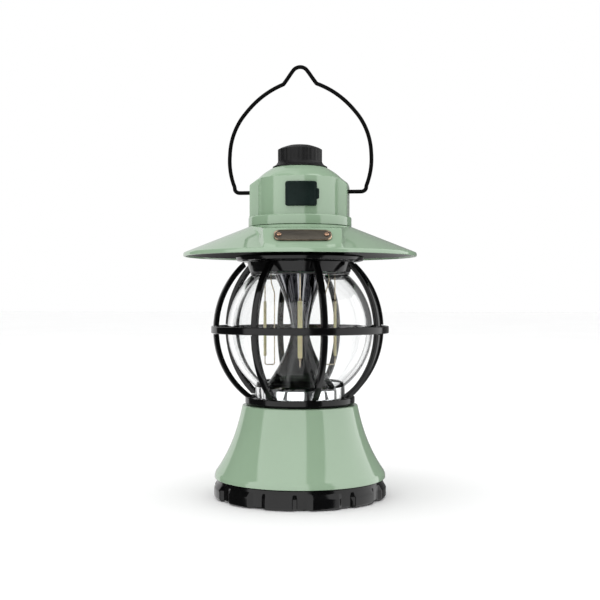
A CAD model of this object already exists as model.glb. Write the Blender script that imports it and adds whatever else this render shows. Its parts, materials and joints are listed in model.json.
import json
import math

import bmesh
import bpy
from mathutils import Matrix, Vector


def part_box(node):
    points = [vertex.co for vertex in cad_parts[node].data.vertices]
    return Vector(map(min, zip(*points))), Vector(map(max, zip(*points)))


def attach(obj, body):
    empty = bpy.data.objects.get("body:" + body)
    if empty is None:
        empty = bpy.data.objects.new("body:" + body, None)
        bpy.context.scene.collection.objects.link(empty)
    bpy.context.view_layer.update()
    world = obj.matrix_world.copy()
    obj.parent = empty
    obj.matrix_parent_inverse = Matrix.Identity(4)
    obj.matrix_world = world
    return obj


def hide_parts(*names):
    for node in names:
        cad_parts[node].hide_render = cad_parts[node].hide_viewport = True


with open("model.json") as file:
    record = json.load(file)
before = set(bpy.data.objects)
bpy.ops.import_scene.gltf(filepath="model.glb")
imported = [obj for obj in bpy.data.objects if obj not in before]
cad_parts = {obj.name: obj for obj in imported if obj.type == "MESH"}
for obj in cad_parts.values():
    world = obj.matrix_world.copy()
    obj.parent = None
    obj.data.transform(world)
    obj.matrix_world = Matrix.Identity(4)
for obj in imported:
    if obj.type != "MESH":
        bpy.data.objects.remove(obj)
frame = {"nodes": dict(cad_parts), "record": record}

MM = 0.001
TURN = 2 * math.pi
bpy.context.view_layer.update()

# Sizes that pieces share: from a node's box where there is one, otherwise from the photo
FRONT_TURN = math.radians(8.6)
CAMERA_TURN = math.radians(7.2)
FOOT_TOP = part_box("foot_ring")[1].z
FOOT_R = 48.0 * MM
BASE_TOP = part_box("base_shell")[1].z
BASE_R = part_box("base_shell")[1].x
COLLAR_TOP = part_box("cage_collar")[1].z
HOOP_LOW, HOOP_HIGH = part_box("cage_hoop")
CAGE_MID = (HOOP_LOW.z + HOOP_HIGH.z) / 2
GLOBE_LOW, GLOBE_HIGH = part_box("globe")
GLOBE_R = 40.5 * MM
GLOBE_MID = 92.8 * MM
HUB_LOW, HUB_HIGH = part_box("cage_hub")
DISH_LOW, DISH_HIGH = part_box("hub_dish")
BRIM_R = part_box("brim")[1].x
CONE_IN, CONE_OUT = 28.8 * MM, 63.6 * MM
CONE_TOP = 149.6 * MM
CAP_LOW, CAP_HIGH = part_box("cap_shell")
CAP_R = 23.8 * MM
SHOULDER_Z = 155.1 * MM
PORT_Z = 166.3 * MM
EAR_X = 27.1 * MM
EAR_HALF = 9.1 * MM
BAIL_Z = frame["record"]["behaviour"]["joints"][0]["pos_m"][2]

WELD = 1e-7          # points closer than this become one
ON_AXIS = 1e-9       # radii below this count as on the axis
DOME = ((0.0, 1.0), (0.2, 0.8), (0.32, 0.45))      # a rod's end: (ahead, width) in its radii


# ------------------------ mesh helpers

def around(radius, turn, height=0.0):
    """A point at an angle from -Y, counted towards +X."""
    return Vector((radius * math.sin(turn), -radius * math.cos(turn), height))


def smooth_step(x):
    """Rises gently from 0 to 1 as x does, and stays level outside that."""
    x = min(1.0, max(0.0, x))
    return x * x * (3 - 2 * x)


def soft_max(a, b, width):
    """The larger of two heights, with a fillet where they cross."""
    share = max(0.0, width - abs(a - b)) / width
    return max(a, b) + share * share * width / 4


def soft_min(a, b, width):
    """The smaller of two heights, with a fillet where they cross."""
    return -soft_max(-a, -b, width)


def rounded(corners, steps=6):
    """A closed outline whose corners (a, b, radius) are rounded with arcs."""
    outline = []
    count = len(corners)
    for index, corner in enumerate(corners):
        here = Vector(corner[:2])
        radius = corner[2] if len(corner) > 2 else 0.0
        if radius <= 0.0:
            outline.append(here)
            continue
        before = (Vector(corners[index - 1][:2]) - here).normalized()
        after = (Vector(corners[(index + 1) % count][:2]) - here).normalized()
        half = before.angle(after) / 2
        reach = radius / math.tan(half)
        centre = here + (before + after).normalized() * (radius / math.sin(half))
        first = here + before * reach - centre
        last = here + after * reach - centre
        sweep = first.angle_signed(last)
        for step in range(steps + 1):
            outline.append(centre + Matrix.Rotation(-sweep * step / steps, 2) @ first)
    return outline


def box_outline(half_w, half_h, corner, steps=4):
    """A rectangle about the origin, with rounded corners."""
    return rounded([(-half_w, -half_h, corner), (half_w, -half_h, corner),
                    (half_w, half_h, corner), (-half_w, half_h, corner)], steps)


def add_mesh(name, bm, material, sharp=40):
    """An object from bm, shaded smooth but for edges of more than sharp degrees."""
    bmesh.ops.remove_doubles(bm, verts=bm.verts, dist=WELD)
    bmesh.ops.recalc_face_normals(bm, faces=bm.faces)
    mesh = bpy.data.meshes.new(name)
    bm.to_mesh(mesh)
    bm.free()
    mesh.materials.append(material)
    mesh.shade_smooth()
    mesh.set_sharp_from_angle(angle=math.radians(sharp))
    piece = bpy.data.objects.new(name, mesh)
    bpy.context.collection.objects.link(piece)
    return piece


def join_rings(bm, rings, closed=False):
    """Joins each ring of points to the next, and gives back the rings as vertices."""
    loops = [[bm.verts.new(point) for point in ring] for ring in rings]
    size = len(loops[0])
    for low, high in zip(loops, loops[1:] + (loops[:1] if closed else [])):
        for index in range(size):
            after = (index + 1) % size
            bm.faces.new((low[index], low[after], high[after], high[index]))
    return loops


def skin(name, rings, material, closed=False, sharp=40):
    """Skins equal rings; closed joins the last to the first, otherwise both ends are capped."""
    bm = bmesh.new()
    loops = join_rings(bm, rings, closed)
    if not closed:
        bm.faces.new(loops[0])
        bm.faces.new(loops[-1])
    return add_mesh(name, bm, material, sharp)


def lathe(name, corners, material, steps=160, corner_steps=6, sharp=40):
    """Turns a closed outline of (radius, height[, corner radius]) about Z."""
    bm = bmesh.new()
    ring = [bm.verts.new((max(r, 0.0), 0, z)) for r, z in rounded(corners, corner_steps)]
    edges = [bm.edges.new(pair) for pair in zip(ring, ring[1:] + ring[:1])
             if pair[0].co.x > ON_AXIS or pair[1].co.x > ON_AXIS]
    bmesh.ops.spin(bm, geom=ring + edges, cent=(0, 0, 0), axis=(0, 0, 1), dvec=(0, 0, 0),
                   angle=TURN, steps=steps, use_merge=True, use_duplicate=False)
    return add_mesh(name, bm, material, sharp)


def rod(name, points, radius, material, sides=16):
    """A round bar that follows points, with domed ends."""
    points = [Vector(point) for point in points]
    rings = []
    count = len(points)
    normal = None
    for index, point in enumerate(points):
        along = (points[min(index + 1, count - 1)] - points[max(index - 1, 0)]).normalized()
        if normal is None:
            normal = along.orthogonal().normalized()
        normal = (normal - along * normal.dot(along)).normalized()
        side = along.cross(normal)
        sections = DOME[:1]
        if index == 0:
            sections = [(-ahead, scale) for ahead, scale in reversed(DOME)]
        if index == count - 1:
            sections = DOME
        for ahead, scale in sections:
            rings.append([point + along * (ahead * radius)
                          + (normal * math.cos(k * TURN / sides)
                             + side * math.sin(k * TURN / sides)) * radius * scale
                          for k in range(sides)])
    return skin(name, rings, material)


def soften(piece, width, segments=3, angle=30):
    """Rounds the piece's edges that are sharper than angle."""
    step = piece.modifiers.new("round_edges", "BEVEL")
    step.width = width
    step.segments = segments
    step.limit_method = "ANGLE"
    step.angle_limit = math.radians(angle)


def dress(piece, body, slot, *nodes):
    """Tells the frame what the piece rides on, its finish and the CAD nodes it stands for."""
    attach(piece, body)
    if nodes:
        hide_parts(*nodes)


# ------------------------ materials

MIX_FACTOR, MIX_A, MIX_B, MIX_RESULT = 0, 6, 7, 2      # a colour mix node's sockets


def noise(tree, scale, detail=3.0, stretch=(1, 1, 1)):
    """Noise in object space, so it stays on the piece when the piece moves."""
    place = tree.nodes.new("ShaderNodeTexCoord")
    mapping = tree.nodes.new("ShaderNodeMapping")
    mapping.inputs["Scale"].default_value = stretch
    tree.links.new(place.outputs["Object"], mapping.inputs["Vector"])
    made = tree.nodes.new("ShaderNodeTexNoise")
    made.inputs["Scale"].default_value = scale
    made.inputs["Detail"].default_value = detail
    tree.links.new(mapping.outputs["Vector"], made.inputs["Vector"])
    return made.outputs["Fac"]


def spread(tree, value, low, high, start=0.3, end=0.7):
    """Maps value from start..end to low..high."""
    made = tree.nodes.new("ShaderNodeMapRange")
    made.inputs["From Min"].default_value = start
    made.inputs["From Max"].default_value = end
    made.inputs["To Min"].default_value = low
    made.inputs["To Max"].default_value = high
    tree.links.new(value, made.inputs["Value"])
    return made.outputs["Result"]


def blend_colour(tree, factor, low, high):
    """Mixes two colours, each of them three numbers or another node's socket."""
    made = tree.nodes.new("ShaderNodeMix")
    made.data_type = "RGBA"
    for place, colour in ((MIX_A, low), (MIX_B, high)):
        if isinstance(colour, tuple):
            made.inputs[place].default_value = (*colour, 1.0)
        else:
            tree.links.new(colour, made.inputs[place])
    tree.links.new(factor, made.inputs[MIX_FACTOR])
    return made.outputs[MIX_RESULT]


def maths(tree, kind, first, second=0.0):
    """The result of a maths node on numbers or sockets."""
    made = tree.nodes.new("ShaderNodeMath")
    made.operation = kind
    for socket, value in zip(made.inputs, (first, second)):
        if isinstance(value, (int, float)):
            socket.default_value = value
        else:
            tree.links.new(value, socket)
    return made.outputs[0]


def object_axes(tree):
    """The X, Y and Z sockets of a piece's own space."""
    place = tree.nodes.new("ShaderNodeTexCoord")
    split = tree.nodes.new("ShaderNodeSeparateXYZ")
    tree.links.new(place.outputs["Object"], split.inputs["Vector"])
    return split.outputs


def lay_over(made, share, colour):
    """Covers a finish's own colour with another one, by share."""
    tree = made.node_tree
    base = tree.nodes["Principled BSDF"].inputs["Base Color"]
    tree.links.new(blend_colour(tree, share, base.links[0].from_socket, colour), base)
    return made


def relief(tree, height, distance, strength=1.0):
    """Bumps the tree's shader by a height socket."""
    made = tree.nodes.new("ShaderNodeBump")
    made.inputs["Distance"].default_value = distance
    made.inputs["Strength"].default_value = strength
    tree.links.new(height, made.inputs["Height"])
    tree.links.new(made.outputs["Normal"], tree.nodes["Principled BSDF"].inputs["Normal"])


def surface(name, low, high, rough, patch=60.0, grain=1400.0, bump=0.000012, metallic=0.0,
            stretch=(1, 1, 1), **sockets):
    """A finish whose colour and roughness drift between two values, over a fine bump."""
    made = bpy.data.materials.new(name)
    made.use_nodes = True
    tree = made.node_tree
    shader = tree.nodes["Principled BSDF"]
    drift = noise(tree, patch, stretch=stretch)
    tree.links.new(blend_colour(tree, spread(tree, drift, 0, 1), low, high),
                   shader.inputs["Base Color"])
    tree.links.new(spread(tree, noise(tree, patch * 2.3, 4.0), *rough),
                   shader.inputs["Roughness"])
    shader.inputs["Metallic"].default_value = metallic
    for socket, value in sockets.items():
        shader.inputs[socket.replace("_", " ")].default_value = value
    relief(tree, noise(tree, grain, 2.0, stretch), bump)
    return made


def make_materials():
    """A finish for each of the record's material slots, and four more for single pieces."""
    return {
        "green_paint": surface("mint_enamel", (0.272, 0.386, 0.266), (0.288, 0.406, 0.282),
                               (0.06, 0.10), patch=28, grain=520, bump=0.000006,
                               Specular_IOR_Level=0.52),
        "black_plastic": surface("black_gloss", (0.0024, 0.0024, 0.0026), (0.0042, 0.0042, 0.0044),
                                 (0.09, 0.14), patch=70, grain=1500, bump=0.000004,
                                 Specular_IOR_Level=0.18),
        "knob_plastic": surface("satin_black", (0.0075, 0.0075, 0.0078), (0.012, 0.012, 0.0122),
                                (0.40, 0.48), patch=110, grain=2400, bump=0.00001,
                                Specular_IOR_Level=0.10),
        "crimp": surface("tarnished_copper", (0.16, 0.12, 0.07), (0.26, 0.20, 0.12), (0.3, 0.42),
                         patch=900, grain=5200, bump=0.000006, metallic=1.0),
        "bail_wire": surface("black_wire", (0.0008, 0.0008, 0.0008), (0.0022, 0.0022, 0.0022),
                             (0.26, 0.36), patch=220, grain=2600, bump=0.000004,
                             Specular_IOR_Level=0.03),
        "black_reflector": surface("black_mirror", (0.005, 0.0056, 0.0055), (0.008, 0.009, 0.0088),
                                   (0.07, 0.12), patch=90, grain=900, bump=0.000003,
                                   Specular_IOR_Level=0.20),
        "mirror_reflector": surface("bright_metal", (0.62, 0.64, 0.64), (0.74, 0.75, 0.76),
                                    (0.06, 0.12), patch=120, grain=1600, bump=0.000005,
                                    metallic=1.0, stretch=(1, 1, 0.05)),
        "streaked_chrome": streaked_chrome(),
        "filament": surface("phosphor", (0.68, 0.62, 0.32), (0.76, 0.70, 0.41), (0.42, 0.55),
                            patch=900, grain=5200, bump=0.00002, Subsurface_Weight=0.12,
                            Subsurface_Scale=0.001),
        "lead_wire": surface("drawn_wire", (0.42, 0.36, 0.26), (0.56, 0.49, 0.38), (0.22, 0.34),
                             patch=900, grain=5200, bump=0.000006, metallic=1.0),
        "steel": surface("plated_steel", (0.44, 0.45, 0.46), (0.56, 0.57, 0.58), (0.24, 0.36),
                         patch=300, grain=2600, bump=0.000008, metallic=1.0),
        "plate_screw": surface("antique_copper", (0.20, 0.115, 0.075), (0.40, 0.25, 0.17),
                               (0.26, 0.42), patch=900, grain=4200, bump=0.00001, metallic=1.0),
        "bronze_plate": surface("dark_bronze", (0.050, 0.043, 0.033), (0.078, 0.068, 0.052),
                                (0.30, 0.42), patch=260, grain=3800, bump=0.00001, metallic=0.55,
                                stretch=(0.15, 1, 1)),
        "plate_rim": worn_rim(),
        "cover_rubber": surface("dark_silicone", (0.0050, 0.0105, 0.0095), (0.0080, 0.0150, 0.0135),
                                (0.34, 0.46), patch=160, grain=2600, bump=0.000010,
                                Specular_IOR_Level=0.06),
        "seal_rubber": surface("seal_rubber", (0.010, 0.010, 0.010), (0.018, 0.018, 0.018),
                               (0.55, 0.7), patch=200, grain=2600, bump=0.00002),
        "cell_wrap": surface("cell_wrap", (0.035, 0.13, 0.36), (0.05, 0.17, 0.44), (0.3, 0.4),
                             patch=80, grain=900, bump=0.00001),
        "board": surface("solder_mask", (0.015, 0.13, 0.045), (0.02, 0.19, 0.065), (0.3, 0.42),
                         patch=300, grain=1800, bump=0.00002),
        "clear_globe": glass(),
    }


def streaked_chrome():
    """Dark chrome with brighter streaks that run down the funnel."""
    made = surface("streaked_chrome", (0.004, 0.004, 0.006), (0.03, 0.03, 0.035), (0.05, 0.10),
                   patch=330, grain=1600, bump=0.000003, metallic=0.9)
    tree = made.node_tree
    axes = object_axes(tree)
    heading = maths(tree, "ARCTAN2", axes["X"], maths(tree, "MULTIPLY", axes["Y"], -1.0))
    lines = tree.nodes.new("ShaderNodeTexNoise")
    lines.noise_dimensions = "1D"
    lines.inputs["Scale"].default_value = 5.0
    lines.inputs["Detail"].default_value = 2.0
    tree.links.new(heading, lines.inputs["W"])
    streaks = spread(tree, lines.outputs["Fac"], 0, 1, 0.5, 0.72)
    return lay_over(made, streaks, (0.55, 0.55, 0.58))


def worn_rim():
    """Dark bronze that has worn to bright copper towards the plate's ends."""
    made = surface("worn_bronze", (0.045, 0.038, 0.028), (0.08, 0.066, 0.048), (0.26, 0.38),
                   patch=420, grain=3800, bump=0.000008, metallic=1.0)
    tree = made.node_tree
    plate_x = 56 * MM * math.sin(FRONT_TURN)
    worn_from, worn_to = 11.5 * MM, 14.5 * MM
    away = maths(tree, "ABSOLUTE", maths(tree, "SUBTRACT", object_axes(tree)["X"], plate_x))
    return lay_over(made, spread(tree, away, 0, 1, worn_from, worn_to), (0.42, 0.31, 0.22))


def glass():
    """Clear moulded polycarbonate: faint waviness and barely rougher patches."""
    made = bpy.data.materials.new("clear_polycarbonate")
    made.use_nodes = True
    tree = made.node_tree
    shader = tree.nodes["Principled BSDF"]
    shader.inputs["Transmission Weight"].default_value = 1.0
    shader.inputs["IOR"].default_value = 1.46
    shader.inputs["Specular Tint"].default_value = (0.3, 0.3, 0.3, 1)
    tint = blend_colour(tree, spread(tree, noise(tree, 30), 0, 1), (0.975, 0.985, 0.985),
                        (0.995, 0.998, 0.998))
    tree.links.new(tint, shader.inputs["Base Color"])
    tree.links.new(spread(tree, noise(tree, 70), 0.0, 0.02), shader.inputs["Roughness"])
    relief(tree, noise(tree, 55, 1.0, (1, 1, 0.25)), 0.00003, 0.6)
    return made


# ------------------------ foot and base

def foot_ring():
    """Twelve lugs with sloped tops and sides round a stepped ring."""
    lugs = 12
    depth = 1.7 * MM
    side_low, side_high, side_run = 3.2, 26.8, 3.0
    marks = (-3.4, -3.0, -1.5, 0, 1.5, 3.0, 3.4, 6.0, 6.5, 9, 12, 15, 18, 21, 23.5, 24.0)

    def raised(mark):
        """0 in the gap between two lugs, 1 on a lug; mark is in degrees from a gap's middle."""
        return min(1.0, max(0.0, min(mark - side_low, side_high - mark) / side_run))

    # Height in mm, how far the lugs stand out there, and inset in mm
    outside = [(0.0, 1.0, 1.5), (0.15, 1.0, 0.9), (0.5, 1.0, 0.4), (1.1, 1.0, 0.08),
               (1.8, 1.0, 0.0), (5.5, 1.0, 0.0), (5.9, 0.93, 0.0), (8.3, 0.04, 0.0),
               (8.7, 0.0, 0.0), (FOOT_TOP / MM - 0.5, 0.0, 0.05), (FOOT_TOP / MM, 0.0, 0.6),
               (FOOT_TOP / MM, 0.0, 6.0)]
    profile = [(FOOT_R - depth - inset * MM, height * MM, depth * proud)
               for height, proud, inset in outside]
    profile += [(34.0 * MM, FOOT_TOP, 0.0), (34.0 * MM, 4.5 * MM, 0.0), (41.0 * MM, 4.5 * MM, 0.0),
                (41.0 * MM, 0.4 * MM, 0.0), (41.6 * MM, 0.0, 0.0)]
    rings = [[around(radius + out * raised(mark),
                     FRONT_TURN + lug * TURN / lugs + math.radians(mark), height)
              for lug in range(lugs) for mark in marks] for radius, height, out in profile]
    piece = skin("foot_lugs", rings, looks["black_plastic"], closed=True, sharp=16)
    soften(piece, 0.22 * MM, 2, 14)
    dress(piece, "lantern", "black_plastic", "foot_ring")


def base_shell():
    """The bell-mouthed base, with a plain lip above the foot."""
    wall = 2.0 * MM
    lip_low = 10.7 * MM
    outer = flare(0.0, 40)
    inner = [(r, z) for r, z in flare(wall, 14) if z < BASE_TOP - 3.0 * MM]
    outline = [(4.0 * MM, BASE_TOP), (outer[0][0], BASE_TOP, 0.7 * MM)] + outer[1:]
    outline += [(46.5 * MM, 14.6 * MM), (46.9 * MM, 14.0 * MM, 0.4 * MM),
                (BASE_R - 0.15 * MM, 12.6 * MM, 0.6 * MM), (BASE_R, lip_low, 0.15 * MM),
                (45.2 * MM, lip_low), (44.9 * MM, 12.6 * MM)]
    outline += list(reversed(inner))
    outline += [(29.7 * MM, BASE_TOP - wall), (4.0 * MM, BASE_TOP - wall)]
    piece = lathe("base_bell", outline, looks["green_paint"], corner_steps=4, sharp=28)
    dress(piece, "lantern", "green_paint", "base_shell")


def flare(inset, steps):
    """The bell's outline from its top to its lip, inset from the outer face."""
    top_r, lip_r, lip_z = 32.1 * MM, 46.1 * MM, 15.2 * MM
    points = []
    for step in range(steps + 1):
        share = step / steps
        radius = top_r + (lip_r - top_r) * (0.55 * share + 0.45 * share ** 2.56)
        points.append((radius - inset, BASE_TOP + (lip_z - BASE_TOP) * share))
    return points


# ------------------------ cage

def rib_radius(height, inset=0.0):
    """A rib's outer radius: half an ellipse above the hoop, half a flatter one below."""
    rise = 49.7 * MM if height > CAGE_MID else 48.1 * MM
    share = (height - CAGE_MID) / (rise - inset)
    return (49.1 * MM - inset) * math.sqrt(max(0.0, 1 - share * share))


def cage_ribs():
    """Bowed bars with rounded edges, notched on the outside where the hoop crosses."""
    ribs, spans = 8, 26
    thick, width = 2.8 * MM, 3.5 * MM
    notch = (HOOP_HIGH.z - HOOP_LOW.z) / 2 + 0.3 * MM
    notch_low, notch_high, notch_r = CAGE_MID - notch, CAGE_MID + notch, 47.8 * MM
    low = COLLAR_TOP + 0.3 * MM
    high_out, high_in = 129.9 * MM, 127.3 * MM
    shares = [math.sin(step / spans * math.pi / 2) for step in range(spans + 1)]
    lower = [low + (notch_low - low) * share for share in shares]
    stations = [(height, height, rib_radius(height)) for height in lower]
    stations += [(height, height, notch_r) for height in (notch_low, notch_high)]
    for share in shares:
        outer_z = notch_high + (high_out - notch_high) * share
        stations.append((outer_z, notch_high + (high_in - notch_high) * share,
                         rib_radius(outer_z)))
    section = [(p.x / thick + 0.5, p.y) for p in box_outline(thick / 2, width / 2, 0.45 * MM)]
    for index in range(ribs):
        swing = Matrix.Rotation((index + 0.5) * TURN / ribs, 3, "Z")
        rings = []
        for outer_z, inner_z, outer_r in stations:
            inner_r = rib_radius(inner_z, thick)
            rings.append([swing @ Vector((inner_r + (outer_r - inner_r) * share, across,
                                          inner_z + (outer_z - inner_z) * share))
                          for share, across in section])
        piece = skin(f"rib_{index + 1}", rings, looks["black_plastic"], sharp=35)
        dress(piece, "lantern", "black_plastic", f"cage_rib_{index + 1}")


def cage_rings():
    """The hoop, the collar and the hub that hold the ribs, and the dish over the hub."""
    low, high, outer_r = HOOP_LOW.z, HOOP_HIGH.z, HOOP_HIGH.x
    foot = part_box("cage_collar")[0].z
    dish, dish_r = DISH_LOW.z, DISH_HIGH.x
    outlines = {
        "hoop": [(48.1 * MM, low, 0.3 * MM), (outer_r, low, 0.55 * MM),
                 (outer_r, high, 0.55 * MM), (48.1 * MM, high, 0.3 * MM)],
        "collar": [(25.6 * MM, foot), (30.1 * MM, foot, 0.3 * MM),
                   (30.6 * MM, foot + 1.2 * MM, 0.3 * MM), (30.6 * MM, COLLAR_TOP, 0.5 * MM),
                   (25.6 * MM, COLLAR_TOP)],
        "hub": [(24.3 * MM, HUB_LOW.z), (28.0 * MM, HUB_LOW.z, 0.7 * MM),
                (29.5 * MM, HUB_HIGH.z, 0.1 * MM), (24.3 * MM, HUB_HIGH.z)],
        "dish": [(3.8 * MM, dish), (33.0 * MM, dish, 2.0 * MM),
                 (35.2 * MM, dish + 0.5 * MM, 0.7 * MM), (dish_r, dish + 2.4 * MM, 0.5 * MM),
                 (dish_r - 0.6 * MM, dish + 3.1 * MM, 0.4 * MM), (26.0 * MM, 135.4 * MM, 2.0 * MM),
                 (26.0 * MM, DISH_HIGH.z), (3.8 * MM, DISH_HIGH.z)],
    }
    nodes = {"hoop": "cage_hoop", "collar": "cage_collar", "hub": "cage_hub", "dish": "hub_dish"}
    for name, outline in outlines.items():
        dress(lathe(name, outline, looks["black_plastic"]), "lantern", "black_plastic", nodes[name])


# ------------------------ globe and column

def globe_wall(wall, neck_wall, steps):
    """Sphere and neck from the top rim down, wall inside the outer surface."""
    neck_r = 25.0 * MM - neck_wall
    radius = GLOBE_R - wall
    first = math.acos((GLOBE_HIGH.z - GLOBE_MID) / radius)
    last = math.pi - math.asin(neck_r / radius)
    points = [(radius * math.sin(first + (last - first) * step / steps),
               GLOBE_MID + radius * math.cos(first + (last - first) * step / steps))
              for step in range(steps + 1)]
    return points + [(neck_r, GLOBE_LOW.z)]


def globe():
    """Clear shell: a sphere cut off at the top, with a straight neck below."""
    outer = globe_wall(0.0, 0.0, 96)
    inner = globe_wall(2.6 * MM, 1.8 * MM, 96)
    rim = 0.5 * MM
    outline = [(*outer[0], rim)] + outer[1:-1] + [(*outer[-1], rim), (*inner[-1], rim)]
    outline += list(reversed(inner[1:-1])) + [(*inner[0], rim)]
    piece = lathe("globe_shell", outline, looks["clear_globe"], steps=192, corner_steps=3,
                  sharp=45)
    dress(piece, "lantern", "clear_globe", "globe")


def trumpet(waist_z, wide_z, wide_r, inset):
    """A funnel's outline from its waist to its wide end, inset from the outer face."""
    steps, waist_r = 36, 5.0 * MM
    points = []
    for step in range(steps + 1):
        share = step / steps
        radius = waist_r + (wide_r - waist_r) * share ** 1.6
        points.append((radius - inset, waist_z + (wide_z - waist_z) * share))
    return points


def column():
    """Two funnels, waist to waist, on a round foot."""
    skin_t = 1.0 * MM
    for end, waist, look, slot in (("lower", 1, "black_reflector", "black_reflector"),
                                   ("upper", 0, "streaked_chrome", "mirror_reflector")):
        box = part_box(f"reflector_{end}")
        size = (box[waist].z, box[1 - waist].z, box[1].x)
        outline = trumpet(*size, 0.0) + list(reversed(trumpet(*size, skin_t)))
        cone = lathe(f"cone_{end}", outline, looks[look], steps=128)
        dress(cone, "lantern", slot, f"reflector_{end}")
    foot_low, foot_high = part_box("column_base")
    foot = lathe("column_foot", [(4.0 * MM, foot_low.z), (foot_high.x, foot_low.z, 0.2 * MM),
                                 (foot_high.x, foot_high.z, 0.6 * MM), (4.0 * MM, foot_high.z)],
                 looks["mirror_reflector"], steps=128)
    dress(foot, "lantern", "mirror_reflector", "column_base")


FILAMENTS = 4
FILAMENT_R = 19.6 * MM
FILAMENT_LOW, FILAMENT_HIGH = 77.6 * MM, 108.4 * MM


def filament(number, turn):
    """A phosphor bar with rounded ends and a crimped tab on each."""
    sides = 20
    centre = around(FILAMENT_R, turn)
    swing = Matrix.Rotation(turn, 3, "Z")
    rings = []
    for height, share in ((FILAMENT_LOW, 0.55), (FILAMENT_LOW + 0.15 * MM, 0.85),
                          (FILAMENT_LOW + 0.5 * MM, 1.0), (FILAMENT_HIGH - 0.5 * MM, 1.0),
                          (FILAMENT_HIGH - 0.15 * MM, 0.85), (FILAMENT_HIGH, 0.55)):
        half_w, half_t = 1.3 * MM * share, 0.85 * MM * share
        rings.append([centre + swing @ Vector((half_w * math.cos(k * TURN / sides),
                                               half_t * math.sin(k * TURN / sides), height))
                      for k in range(sides)])
    bar = skin(f"phosphor_{number}", rings, looks["filament"], sharp=60)
    dress(bar, "lantern", "filament", f"filament_{number}")
    tab_w, tab_t, tab_h = 0.62 * MM, 0.25 * MM, 1.45 * MM
    for end, low in (("low", FILAMENT_LOW - 1.5 * MM), ("high", FILAMENT_HIGH + 0.05 * MM)):
        tab = [[centre + swing @ Vector((tab_w * sx, tab_t * sy, height))
                for sx, sy in ((-1, -1), (1, -1), (1, 1), (-1, 1))] for height in (low, low + tab_h)]
        crimp = skin(f"crimp_{end}_{number}", tab, looks["crimp"])
        soften(crimp, 0.1 * MM, 2)
        dress(crimp, "lantern", "lead_wire")


def leads(number, turn):
    """The lead above a bar, and the wire from its foot back up to the light board."""
    top = HUB_LOW.z - 0.3 * MM
    lead = rod(f"lead_{number}",
               [around(FILAMENT_R, turn, z) for z in (FILAMENT_HIGH + 1.3 * MM, 114 * MM, top)],
               0.32 * MM, looks["lead_wire"], 10)
    dress(lead, "lantern", "lead_wire")
    return_r, return_low, bend, crank = 14.3 * MM, 72.9 * MM, 1.0 * MM, 1.9 * MM
    steps = 6
    angles = [math.pi / 2 * step / steps for step in range(steps + 1)]
    corner = [(1 - math.cos(angle), math.sin(angle)) for angle in angles]
    route = [(FILAMENT_R, FILAMENT_LOW - 1.2 * MM)]
    route += [(FILAMENT_R - bend * a, return_low + bend * (1 - b)) for a, b in corner]
    route += [(return_r + bend * (1 - b), return_low + bend * a) for a, b in corner]
    route += [(return_r, z * MM) for z in (80, 88, 96, 104, 110, 112)]
    route += [(return_r + crank * smooth_step(step / steps), (112 + 8 * step / steps) * MM)
              for step in range(1, steps + 1)]
    route.append((return_r + crank, top))
    wire = rod(f"return_{number}", [around(r, turn, z) for r, z in route], 0.34 * MM,
               looks["lead_wire"], 10)
    dress(wire, "lantern", "lead_wire", f"return_lead_{number}")


def filaments():
    """The four bars round the column, each with its leads."""
    for index in range(FILAMENTS):
        turn = index * TURN / FILAMENTS + CAMERA_TURN
        filament(index + 1, turn)
        leads(index + 1, turn)


# ------------------------ brim and nameplate

def cone_height(radius):
    """Height of the shade's upper face away from the plinth."""
    slope = (149.6 - 135.5) / (64.0 - 28.8)
    return CONE_TOP - slope * (radius - CONE_IN)


# The plinth's shape in mm: distance forward of the axis, half width, top height
PLINTH = [(0.0, 28.6, 149.9), (8.0, 27.9, 149.3), (22.0, 25.6, 148.4), (32.0, 22.4, 147.5),
          (38.0, 21.0, 147.0), (50.6, 20.3, 145.8), (61.2, 19.6, 137.2), (70.0, 19.0, 130.1)]
HALF_WIDTH, TOP = 1, 2
PLATE_BACK, PLATE_FRONT = PLINTH[5], PLINTH[6]
PLATE_FALL = (PLATE_BACK[TOP] - PLATE_FRONT[TOP]) / (PLATE_FRONT[0] - PLATE_BACK[0])
PLATE_TILT = math.atan(PLATE_FALL)


def along_plinth(forward, column_index):
    """Half width or top height of the nameplate's plinth at a distance forward."""
    forward = min(max(forward / MM, PLINTH[0][0]), PLINTH[-1][0])
    for low, high in zip(PLINTH, PLINTH[1:]):
        if forward <= high[0]:
            share = (forward - low[0]) / (high[0] - low[0])
            return (low[column_index] + (high[column_index] - low[column_index]) * share) * MM
    return PLINTH[-1][column_index] * MM


def brim_height(radius, turn):
    """The brim's upper face: a cone, with the plinth rising out of its front."""
    cone = cone_height(radius)
    spot = around(radius, turn - FRONT_TURN)
    forward = -spot.y
    if forward < 1.0 * MM:
        return cone
    top = along_plinth(forward, TOP)
    if forward >= 45.0 * MM:
        sloped = PLATE_BACK[TOP] * MM - (forward - PLATE_BACK[0] * MM) * PLATE_FALL
        top = soft_min(top, sloped, 1.2 * MM)
    steepness, widen_from, widen_run = 5.0, 34, 10
    wall = top - (abs(spot.x) - along_plinth(forward, HALF_WIDTH)) * steepness
    fillet = (1.3 + 2.2 * smooth_step((forward / MM - widen_from) / widen_run)) * MM
    return soft_max(cone, soft_min(top, wall, 1.8 * MM), fillet)


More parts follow.
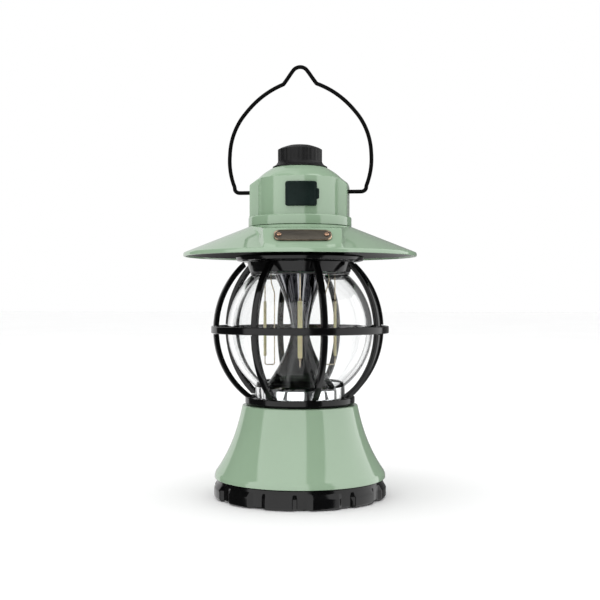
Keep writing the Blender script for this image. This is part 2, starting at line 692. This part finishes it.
def brim():
    """Swept shade; the grid is fine near the plinth's sides and coarse elsewhere."""
    turns = []
    angle = -180.0
    while angle < 180.0:
        turns.append(math.radians(angle) + FRONT_TURN)
        distance = abs(angle)
        angle += 0.25 if 14 < distance < 62 else (0.5 if distance < 80 else 2.5)
    steps = 96
    eye_r, under_z, low = 6.0 * MM, 147.6 * MM, 133.1 * MM
    rings = [[around(eye_r, turn, CONE_TOP) for turn in turns]]
    for step in range(steps + 1):
        radius = CONE_IN + (CONE_OUT - CONE_IN) * step / steps
        rings.append([around(radius, turn, brim_height(radius, turn)) for turn in turns])
    edge = rounded([(CONE_OUT, cone_height(CONE_OUT)), (64.7 * MM, low + 2.1 * MM, 0.5 * MM),
                    (BRIM_R, low + 1.4 * MM, 0.4 * MM), (BRIM_R, low, 0.45 * MM),
                    (63.8 * MM, low, 0.3 * MM), (63.4 * MM, low + 0.9 * MM, 0.3 * MM),
                    (29.8 * MM, under_z, 1.0 * MM), (eye_r, under_z)], 4)
    for radius, height in edge[1:]:
        rings.append([around(radius, turn, height) for turn in turns])
    piece = skin("shade", rings, looks["green_paint"], closed=True, sharp=30)
    piece.data.materials.append(looks["black_plastic"])
    black_r, black_slot = 49 * MM, 1
    for face in piece.data.polygons:
        if face.normal.z < 0 and math.hypot(face.center.x, face.center.y) < black_r:
            face.material_index = black_slot
    dress(piece, "lantern", "green_paint", "brim")


def on_plinth(lift):
    """The frame of the plinth's sloped face, lift above it."""
    normal = Vector((0, -math.sin(PLATE_TILT), math.cos(PLATE_TILT)))
    middle = Vector((0, -56.1 * MM, 141.35 * MM))
    return (Matrix.Rotation(FRONT_TURN, 4, "Z") @ Matrix.Translation(middle + normal * lift)
            @ Matrix.Rotation(PLATE_TILT, 4, "X"))


def plate_outline(half_w, half_h, bow, corner):
    """A rounded plate whose long edges bow outwards by bow."""
    outline = box_outline(half_w, half_h - bow, corner, 5)
    cuts = 14
    filled = []
    for here, after in zip(outline, outline[1:] + outline[:1]):
        filled.append(here)
        if abs(after.x - here.x) > half_w:
            filled += [here.lerp(after, step / cuts) for step in range(1, cuts)]
    return [Vector((p.x, p.y + math.copysign(bow * (1 - (p.x / half_w) ** 2), p.y)))
            for p in filled]


def nameplate():
    """A dark plate inside a thin worn rim, held by two small rivet-headed screws."""
    half_w, half_h = 14.7 * MM, 4.6 * MM
    outline = plate_outline(half_w, half_h, 0.55 * MM, 2.9 * MM)
    gap = 0.3 * MM

    def scaled(inset, height):
        """The outline, drawn in by inset mm, at a height in mm."""
        return [(p.x * (half_w - inset * MM) / half_w, p.y * (half_h - inset * MM) / half_h,
                 height * MM) for p in outline]

    face = [(0.75, 0.05), (0.75, 0.55), (0.95, 0.62)]
    edge = [(0.0, 0.0), (0.0, 0.5), (0.12, 0.74), (0.35, 0.8), (0.6, 0.74), (0.72, 0.5), (0.72, 0.0)]
    plate = skin("plate_face", [scaled(*place) for place in face], looks["bronze_plate"], sharp=50)
    plate.data.transform(on_plinth(gap))
    rim = skin("plate_rim", [scaled(*place) for place in edge], looks["plate_rim"], closed=True,
               sharp=70)
    rim.data.transform(on_plinth(gap))
    dress(plate, "lantern", "bronze_plate", "nameplate")
    dress(rim, "lantern", "bronze_plate")
    profile = [(0, 0), (1.3 * MM, 0), (1.3 * MM, 0.35 * MM, 0.3 * MM),
               (0.6 * MM, 0.6 * MM, 0.4 * MM), (0.45 * MM, 0.42 * MM, 0.1 * MM), (0, 0.42 * MM)]
    for number, side in ((1, -1), (2, 1)):
        head = lathe(f"plate_rivet_{number}", profile, looks["plate_screw"], steps=32,
                     corner_steps=4)
        head.data.transform(on_plinth(2 * gap + 0.62 * MM)
                            @ Matrix.Translation((side * 12.1 * MM, 0, 0)))
        dress(head, "lantern", "plate_screw", f"plate_screw_{number}")


# ------------------------ cap

def ear_radius(turn):
    """Plan radius of the ears at the bail's two ends; inside the wall everywhere else."""
    from_axis = abs(math.asin(min(1.0, abs(math.cos(turn)))))
    face = EAR_X / math.cos(from_axis)
    flank = EAR_HALF / max(0.05, math.sin(from_axis))
    return min(soft_min(face, flank, 1.5 * MM), CAP_R + 8 * MM)


def cap_turns():
    """Angles round the cap, finer where an ear's flank rises."""
    turns = []
    for quarter in range(4):
        local = []
        for low, high, step in ((0, 12, 2.0), (12, 28, 0.4), (28, 90, 3.1)):
            count = round((high - low) / step)
            local += [low + (high - low) * k / count for k in range(count)]
        if quarter % 2:
            local = [90 - angle for angle in reversed(local)]
        turns += [math.radians(90 * (quarter + 1) + angle) for angle in local]
    return turns


def cap_radius(turn, height):
    """Wall radius of the cap above its collar: an upright wall under a bulging dome."""
    dome_low, dome_high = 176.2 * MM, CAP_HIGH.z
    slope = (23.8 - 15.1) / (182.7 - 176.2)
    if height > dome_low:
        share = (height - dome_low) / (dome_high - dome_low)
        bulge = 0.75 * MM * math.sin(math.pi * share)
        return CAP_R - slope * (height - dome_low) + bulge
    sloped = CAP_R + slope * (dome_low - height) + 0.1 * MM
    ear = soft_min(ear_radius(turn), sloped, 0.9 * MM)
    return soft_max(CAP_R, ear, 0.8 * MM)


def cap():
    """Collar, wall, dome and ears in one shell, with a window for the port."""
    turns = cap_turns()
    dome_low, dome_steps = 176.25 * MM, 22
    eye_r, foot_r = 4.1 * MM, 26.8 * MM
    rings = [[around(foot_r, turn, CAP_LOW.z) for turn in turns]]
    collar = rounded([(foot_r, CAP_LOW.z), (CONE_IN, CAP_LOW.z, 0.1 * MM),
                      (CONE_IN, SHOULDER_Z, 0.8 * MM), (CAP_R, SHOULDER_Z)], 5)[1:-1]
    for radius, height in collar:
        rings.append([around(radius, turn, height) for turn in turns])
    wall = [cap_radius(turn, SHOULDER_Z + 0.5 * MM) for turn in turns]
    for inward in (27.3, 26.6, 25.9, 25.2):
        rings.append([around(max(inward * MM, radius + 0.35 * MM), turn, SHOULDER_Z)
                      for radius, turn in zip(wall, turns)])
    for lift, out in ((0.02, 0.35), (0.12, 0.16), (0.32, 0.04)):
        rings.append([around(radius + out * MM, turn, SHOULDER_Z + lift * MM)
                      for radius, turn in zip(wall, turns)])
    heights = [(155.7 + 1.0 * step) * MM for step in range(15)]
    heights += [(170.5 + 0.25 * step) * MM for step in range(23)]
    heights += [dome_low + (CAP_HIGH.z - dome_low) * step / dome_steps
                for step in range(dome_steps + 1)]
    for height in heights:
        rings.append([around(cap_radius(turn, height), turn, height) for turn in turns])
    for radius, height in ((eye_r, CAP_HIGH.z), (eye_r, 180.7 * MM), (13.8 * MM, 180.7 * MM),
                           (21.8 * MM, 175.0 * MM), (21.8 * MM, 153.0 * MM), (foot_r, 153.0 * MM)):
        rings.append([around(radius, turn, height) for turn in turns])
    sharp = 32
    piece = skin("cap", rings, looks["green_paint"], closed=True, sharp=sharp)
    carve(piece, window_block())
    reach, pivot_r = 32 * MM, 2.4 * MM
    pivot = lathe("pivot_cut", [(0, -reach), (pivot_r, -reach), (pivot_r, reach), (0, reach)],
                  looks["green_paint"], steps=40)
    pivot.data.transform(along_pivot(1))
    carve(piece, pivot)
    piece.data.shade_smooth()
    piece.data.set_sharp_from_angle(angle=math.radians(sharp))
    dress(piece, "lantern", "green_paint", "cap_shell")


def bail_bushes():
    """The two sleeves in the ears that the bail turns in."""
    inner, outer, bore_r, bush_r = 21.2 * MM, 27.0 * MM, 1.45 * MM, 2.1 * MM
    profile = [(bore_r, inner), (bush_r, inner), (bush_r, outer, 0.25 * MM),
               (bore_r, outer, 0.2 * MM)]
    for name, side in (("left", -1), ("right", 1)):
        bush = lathe(f"bush_{name}", profile, looks["black_plastic"], steps=48, corner_steps=3)
        bush.data.transform(along_pivot(side))
        dress(bush, "lantern", "black_plastic", f"bail_bush_{name}")


def along_pivot(side):
    """Turns a piece made about Z onto the bail's axis, towards +X or -X."""
    return Matrix.Translation((0, 0, BAIL_Z)) @ Matrix.Rotation(side * math.pi / 2, 4, "Y")


def window_block():
    """The block that cuts the window for the two sockets."""
    outline = box_outline(7.5 * MM, 5.5 * MM, 0.8 * MM)
    rings = [[Vector((x, y, z + PORT_Z)) for x, z in outline] for y in (-28.0 * MM, -10.0 * MM)]
    block = skin("window_cut", rings, looks["green_paint"])
    block.data.transform(Matrix.Rotation(FRONT_TURN, 4, "Z"))
    return block


def carve(piece, tool):
    """Cuts tool out of piece, applies the cut and removes the tool."""
    step = piece.modifiers.new("cut", "BOOLEAN")
    step.operation = "DIFFERENCE"
    step.solver = "EXACT"
    step.object = tool
    bpy.context.view_layer.update()
    graph = bpy.context.evaluated_depsgraph_get()
    cut = bpy.data.meshes.new_from_object(piece.evaluated_get(graph))
    piece.modifiers.clear()
    piece.data = cut
    bpy.data.objects.remove(tool, do_unlink=True)


def usb_cover():
    """Rubber flap: rounded outline on a curved face, a shallow inner panel and a pull tab."""
    inner_r, thick = 24.1 * MM, 1.3 * MM
    outer_r = inner_r + thick
    half_w, half_h, corner = 8.85 * MM, 6.65 * MM, 1.2 * MM
    tab_w = half_w + 1.35 * MM
    outline = rounded([(-half_w, -half_h, corner), (half_w, -half_h, corner),
                       (half_w, -3.0 * MM, 0.3 * MM), (tab_w, -2.6 * MM, 0.5 * MM),
                       (tab_w, 2.6 * MM, 0.5 * MM), (half_w, 3.0 * MM, 0.3 * MM),
                       (half_w, half_h, corner), (-half_w, half_h, corner)], 4)
    filled = []
    for here, after in zip(outline, outline[1:] + outline[:1]):
        steps = max(1, int((after - here).length / (0.6 * MM)))
        filled += [here.lerp(after, step / steps) for step in range(steps)]

    def lay(inset, radius):
        """The outline, drawn in by inset and wrapped round the cap at a radius."""
        ring = []
        for p in filled:
            x = p.x - math.copysign(min(inset, abs(p.x)), p.x)
            z = p.y - math.copysign(min(inset, abs(p.y)), p.y)
            ring.append(around(radius, FRONT_TURN + x / outer_r, PORT_Z + z))
        return ring

    panel_r = outer_r - 0.14 * MM
    rings = [lay(0.1 * MM, inner_r), lay(0.0, inner_r + 0.15 * MM), lay(0.0, outer_r - 0.4 * MM),
             lay(0.12 * MM, outer_r - 0.12 * MM), lay(0.4 * MM, outer_r),
             lay(0.95 * MM, outer_r), lay(1.1 * MM, panel_r)]
    bm = bmesh.new()
    loops = join_rings(bm, rings)
    grid_cap(bm, loops[0], inner_r)
    grid_cap(bm, loops[-1], panel_r)
    piece = add_mesh("port_cover", bm, looks["cover_rubber"], sharp=50)
    dress(piece, "usb_cover", "cover_rubber", "usb_cover")


def grid_cap(bm, loop, radius):
    """Closes a loop lying on a cylinder by cutting the flat cap along upright lines."""
    faces = bmesh.ops.triangulate(bm, faces=[bm.faces.new(loop)])["faces"]
    cuts_each_side, pitch = 7, math.radians(2.6)
    for cut_index in range(-cuts_each_side, cuts_each_side + 1):
        turn = FRONT_TURN + cut_index * pitch
        geometry = set(faces)
        for face in faces:
            geometry.update(face.edges)
            geometry.update(face.verts)
        cut = bmesh.ops.bisect_plane(bm, geom=list(geometry), dist=WELD, plane_co=(0, 0, 0),
                                     plane_no=(math.cos(turn), math.sin(turn), 0))
        faces = [item for item in cut["geom"] if isinstance(item, bmesh.types.BMFace)]
        for item in cut["geom_cut"]:
            if isinstance(item, bmesh.types.BMVert):
                flat = math.hypot(item.co.x, item.co.y)
                item.co.x *= radius / flat
                item.co.y *= radius / flat


# ------------------------ knob and bail

def knob():
    """Push-fit dimmer knob: flared skirt, fluted wall and chamfered crown."""
    ribs, per_rib, flute = 28, 12, 0.16
    count = ribs * per_rib
    skirt = [(15.25, 183.0), (15.3, 183.15), (15.25, 183.35), (14.4, 183.8), (13.6, 184.3),
             (13.0, 184.9), (12.65, 185.6), (12.4, 186.0)]
    wall = [(12.4, 186.3), (12.4, 188.5), (12.4, 190.5), (12.4, 192.4), (12.4, 192.9)]
    crown = [(11.95, 193.2), (10.9, 193.78), (8.4, 194.72), (6.3, 195.33), (5.6, 195.4),
             (0.4, 195.4)]
    inner = [(0.4, 192.3), (3.2, 192.3), (3.2, 186.3), (7.0, 186.3), (7.0, 183.0)]
    profile = [(radius, height, 0.0) for radius, height in skirt]
    profile += [(radius, height, flute) for radius, height in wall]
    profile += [(12.2, 193.1, 0.06)]
    profile += [(radius, height, 0.0) for radius, height in crown + inner]
    dents = [(0.5 - 0.5 * math.cos(TURN * k / per_rib)) ** 1.6 for k in range(count)]
    rings = [[around((radius - depth * dent) * MM, k * TURN / count, height * MM)
              for k, dent in enumerate(dents)] for radius, height, depth in profile]
    piece = skin("dial", rings, looks["knob_plastic"], closed=True, sharp=38)
    dress(piece, "knob", "black_plastic", "knob")


def bail_half():
    """The wire's right half as (x, z) in mm: leg, bend, arc that swells to a kink, raised peak."""
    leg_x, leg_z, bend_r, bend_steps = 34.3, 169.3, 3.0, 11
    arc_z, arc_r, arc_steps = 187.4, 40.0, 80
    start, bow_from, swell_from, kink = -21.5, 5, 40.0, 77.7
    points = [(20.4, leg_z), (28.0, leg_z), (leg_x, leg_z)]
    for step in range(1, bend_steps):
        angle = math.radians(90 + start) * step / bend_steps
        points.append((leg_x + bend_r * math.sin(angle), leg_z + bend_r * (1 - math.cos(angle))))
    for step in range(arc_steps):
        angle = start + (kink - start) * step / arc_steps
        swell = max(0.0, (angle - swell_from) / (kink - swell_from)) ** 1.6
        bow = math.sin(math.pi * max(0.0, (angle - bow_from) / (kink - bow_from)))
        radius = arc_r + 3.6 * swell + 0.8 * bow
        points.append((radius * math.cos(math.radians(angle)),
                       arc_z + radius * math.sin(math.radians(angle))))
    peak = [(9.3, 230.0), (6.9, 233.3), (4.9, 236.2), (2.8, 238.6), (0.0, 239.45)]
    return points + smooth_run(peak, 8)


def smooth_run(points, steps):
    """Points of a Catmull-Rom curve through the given (x, z) points."""
    padded = [points[0]] + points + [(-points[-2][0], points[-2][1])]
    run = []
    for a, b, c, d in zip(padded, padded[1:], padded[2:], padded[3:]):
        for step in range(steps):
            t = step / steps
            run.append(tuple(0.5 * ((2 * q) + (r - p) * t + (2 * p - 5 * q + 4 * r - s) * t * t
                                    + (3 * q - p - 3 * r + s) * t ** 3)
                             for p, q, r, s in zip(a, b, c, d)))
    run.append(points[-1])
    return run


def bail():
    """The wire handle: a half and its mirror image, standing upright."""
    half = bail_half()
    route = [(-x, z) for x, z in half[:-1]] + list(reversed(half))
    piece = rod("bail", [(x * MM, 0, z * MM) for x, z in route], 1.1 * MM, looks["bail_wire"], 20)
    dress(piece, "bail_handle", "bail_wire", "bail_handle")


# ------------------------ carried-over nodes

def finish_cad_nodes():
    """Every CAD node takes its slot's material; replaced ones are hidden by the frame."""
    slots = {row["node"]: row["material_slot"] for row in frame["record"]["subparts"]}
    for name, item in frame["nodes"].items():
        if not item.material_slots:
            item.data.materials.append(looks[slots[name]])
        for slot in item.material_slots:
            slot.material = looks[slots[name]]


# ------------------------ studio

def studio():
    """Pale floor, white surround with reflected panels, and a soft lamp overhead."""
    reach = 9.0
    mesh = bpy.data.meshes.new("floor")
    mesh.from_pydata([(-reach, -reach, 0), (reach, -reach, 0), (reach, reach, 0),
                      (-reach, reach, 0)], [], [(0, 1, 2, 3)])
    mesh.materials.append(surface("pale_paper", (0.93, 0.93, 0.93), (0.95, 0.95, 0.95),
                                  (0.8, 0.9), patch=3, grain=60, bump=0.0,
                                  Specular_IOR_Level=0.1))
    floor = bpy.data.objects.new("floor", mesh)
    floor.location.z = -0.2 * MM
    floor.visible_glossy = False
    bpy.context.collection.objects.link(floor)
    panels()
    light = bpy.data.lights.new("overhead", "AREA")
    light.shape = "DISK"
    light.size = 1.6
    light.energy = 9.0
    lamp = bpy.data.objects.new("overhead", light)
    lamp.visible_glossy = False
    aim(lamp, around(0.5, CAMERA_TURN - 0.6, 1.8), 0.1)


def aim(item, spot, height):
    """Adds a lamp or a camera at spot, looking at the lantern's axis at a height."""
    item.location = spot
    line = Vector((0, 0, height)) - item.location
    item.rotation_euler = line.to_track_quat("-Z", "Y").to_euler()
    bpy.context.collection.objects.link(item)


# What reflections see by heading, in degrees from the camera's side towards +X
PANELS = [(-180, 0.55), (-136, 1.2), (-134, 0.05), (-77, 0.05), (-75, 2.8), (11, 2.8), (13, 0.05),
          (45, 0.05), (47, 2.8), (129, 2.4), (131, 0.1), (160, 0.2), (180, 0.35)]


def panels():
    """World light: white to look at, in strips by heading to mirrors, level on matt faces."""
    world = bpy.data.worlds.new("studio")
    bpy.context.scene.world = world
    world.use_nodes = True
    world.cycles.sampling_method = "NONE"
    tree = world.node_tree
    background = tree.nodes["Background"]
    background.inputs["Color"].default_value = (1, 1, 1, 1)
    place = tree.nodes.new("ShaderNodeTexCoord")
    turn = tree.nodes.new("ShaderNodeMapping")
    turn.inputs["Rotation"].default_value = (0, 0, math.pi / 2 - CAMERA_TURN)
    tree.links.new(place.outputs["Generated"], turn.inputs["Vector"])
    split = tree.nodes.new("ShaderNodeSeparateXYZ")
    tree.links.new(turn.outputs["Vector"], split.inputs["Vector"])
    heading = maths(tree, "ARCTAN2", split.outputs["Y"], split.outputs["X"])
    share = maths(tree, "ADD", maths(tree, "DIVIDE", heading, TURN), 0.5)
    ramp = tree.nodes.new("ShaderNodeValToRGB")
    tree.links.new(share, ramp.inputs["Fac"])
    brightest = max(strength for _, strength in PANELS)
    marks = ramp.color_ramp.elements
    while len(marks) < len(PANELS):
        marks.new(0.5)
    for mark, (angle, strength) in zip(marks, PANELS):
        mark.position = (angle + 180) / 360
        mark.color = (*[strength / brightest] * 3, 1)
    seen = maths(tree, "MULTIPLY", ramp.outputs["Color"], brightest)
    rays = tree.nodes.new("ShaderNodeLightPath")
    mirrored = maths(tree, "MINIMUM", rays.outputs["Glossy Depth"], 1.0)
    scattered = maths(tree, "MINIMUM", rays.outputs["Diffuse Depth"], 1.0)
    extra = maths(tree, "MULTIPLY", mirrored, maths(tree, "SUBTRACT", seen, 1.0))
    direct = maths(tree, "ADD", 1.0, extra)
    matt_strength = 1.03
    soft = maths(tree, "MULTIPLY", scattered, maths(tree, "SUBTRACT", matt_strength, direct))
    tree.links.new(maths(tree, "ADD", direct, soft), background.inputs["Strength"])


def camera():
    """Level view a little towards +X, at the globe's height."""
    distance, eye_z = 0.588, 0.109
    data = bpy.data.cameras.new("camera")
    data.lens = 63.0
    data.sensor_width = 36.0
    item = bpy.data.objects.new("camera", data)
    aim(item, around(distance, CAMERA_TURN, eye_z), eye_z)
    bpy.context.scene.camera = item
    bpy.context.scene.view_settings.view_transform = "Standard"


looks = make_materials()
foot_ring()
base_shell()
cage_ribs()
cage_rings()
globe()
column()
filaments()
brim()
nameplate()
cap()
bail_bushes()
usb_cover()
knob()
bail()
finish_cad_nodes()
studio()
camera()
